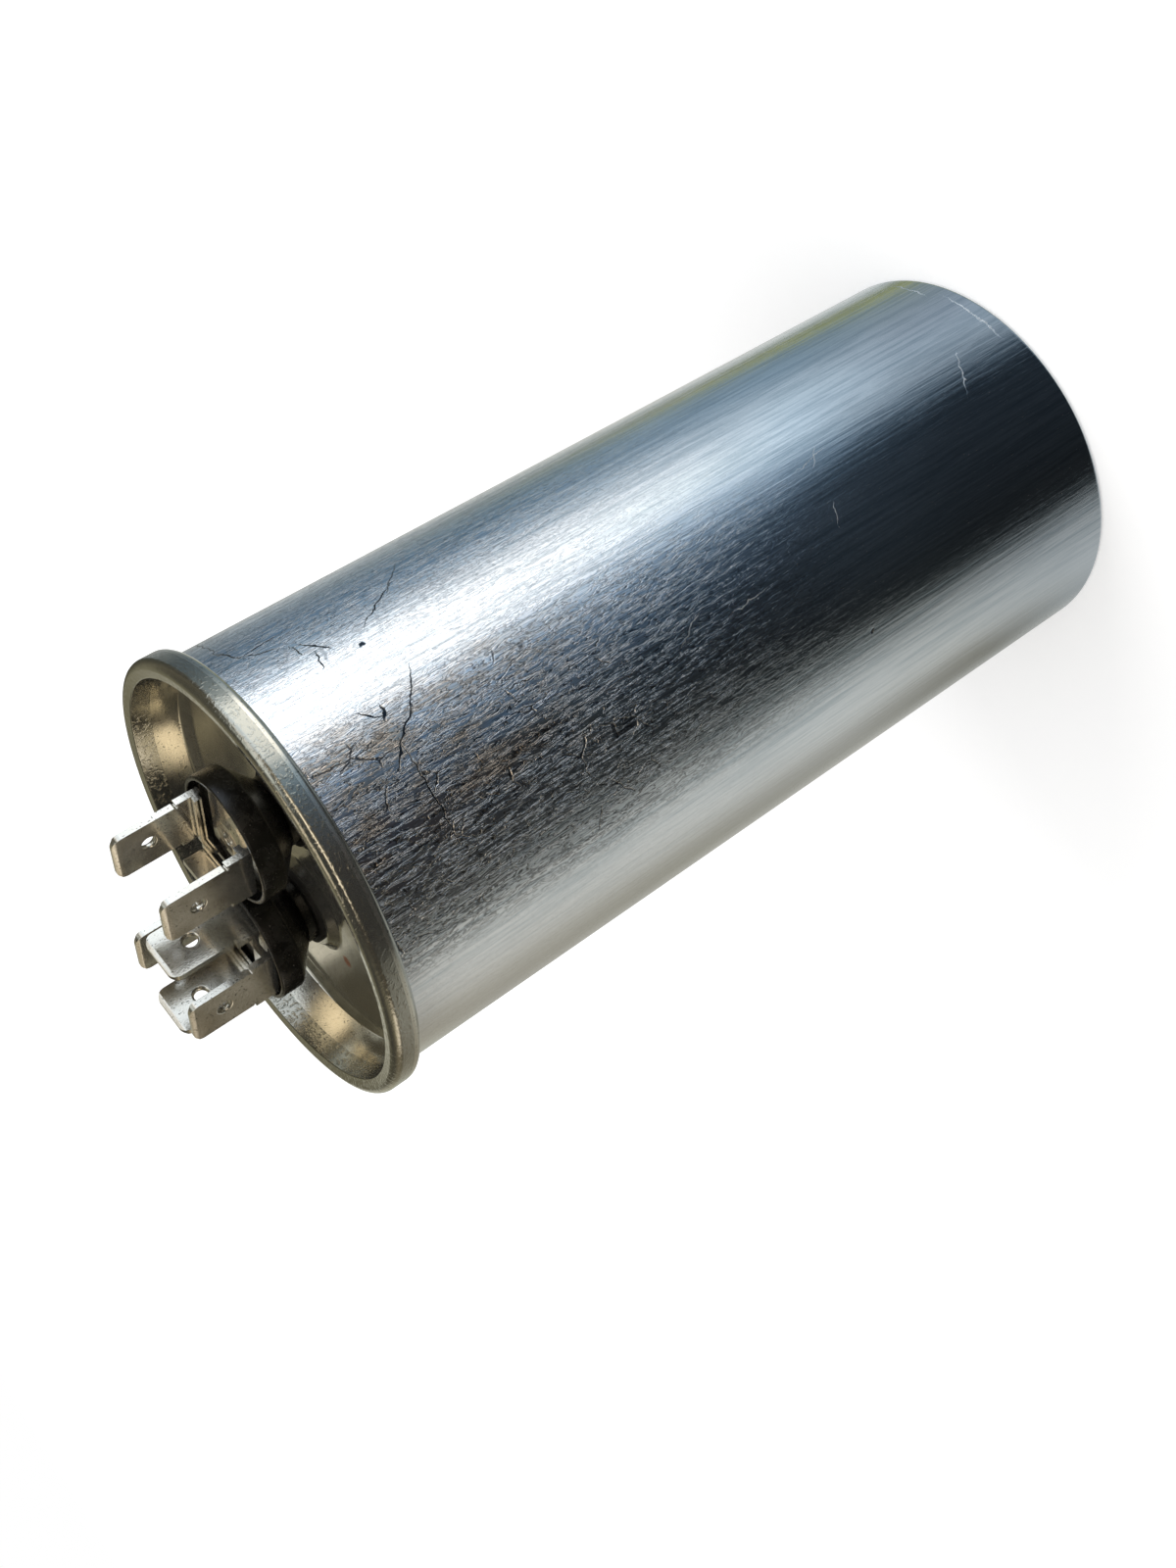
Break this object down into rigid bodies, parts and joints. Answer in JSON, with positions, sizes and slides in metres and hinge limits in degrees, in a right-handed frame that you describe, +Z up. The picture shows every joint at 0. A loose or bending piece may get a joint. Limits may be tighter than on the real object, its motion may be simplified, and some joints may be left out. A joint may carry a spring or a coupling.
{
  "type": "motor run capacitor",
  "caption": "Round motor run capacitor: film winding in a drawn aluminium can, double-seamed lid, push-on tab terminals in insulating cups.",
  "frame": {"origin": "centre of the can's base, on the surface that it stands on", "axes": "+Z up the can towards the terminals; +X from the four-tab terminal to the two-tab terminal"},
  "size_m": [0.053, 0.053, 0.122],
  "materials": {
    "can_aluminium": "bare drawn aluminium with lengthwise grain and scratches",
    "lid_tinplate": "tin-plated steel, dull bright",
    "sealing_compound": "cured seam compound",
    "cup_phenolic": "moulded black phenolic, semi-gloss",
    "terminal_tinplate": "tin-plated sheet, dull",
    "rivet_steel": "tin-plated steel",
    "gasket_rubber": "pressed rubber",
    "inner_plastic": "natural polypropylene",
    "tag_brass": "tinned brass",
    "lead_red": "insulated wire",
    "lead_black": "insulated wire",
    "sleeve_plastic": "extruded sleeve",
    "metallised_film": "wound metallised film",
    "wrap_film": "wrapped polyester film",
    "zinc_spray": "sprayed zinc, granular",
    "solder": "dull solder",
    "disc_board": "phenolic board"
  },
  "bodies": {
    "root": {"can": "can_aluminium", "lid": "lid_tinplate", "seam_compound": "sealing_compound", "cup_two_tab": "cup_phenolic", "cup_four_tab": "cup_phenolic", "terminal_two_tab": "terminal_tinplate", "terminal_four_tab": "terminal_tinplate", "rivets": "rivet_steel", "gasket_two_tab": "gasket_rubber", "gasket_four_tab": "gasket_rubber", "inner_insulator_two_tab": "inner_plastic", "inner_insulator_four_tab": "inner_plastic", "solder_tag_two_tab": "tag_brass", "solder_tag_four_tab": "tag_brass", "lead_top": "lead_red", "lead_core": "lead_black", "lead_sleeve": "sleeve_plastic", "winding": "metallised_film", "winding_core": "inner_plastic", "winding_wrap": "wrap_film", "end_spray_top": "zinc_spray", "end_spray_bottom": "zinc_spray", "solder_top": "solder", "solder_bottom": "solder", "bottom_spacer": "inner_plastic", "top_disc": "disc_board"}
  },
  "joints": []
}
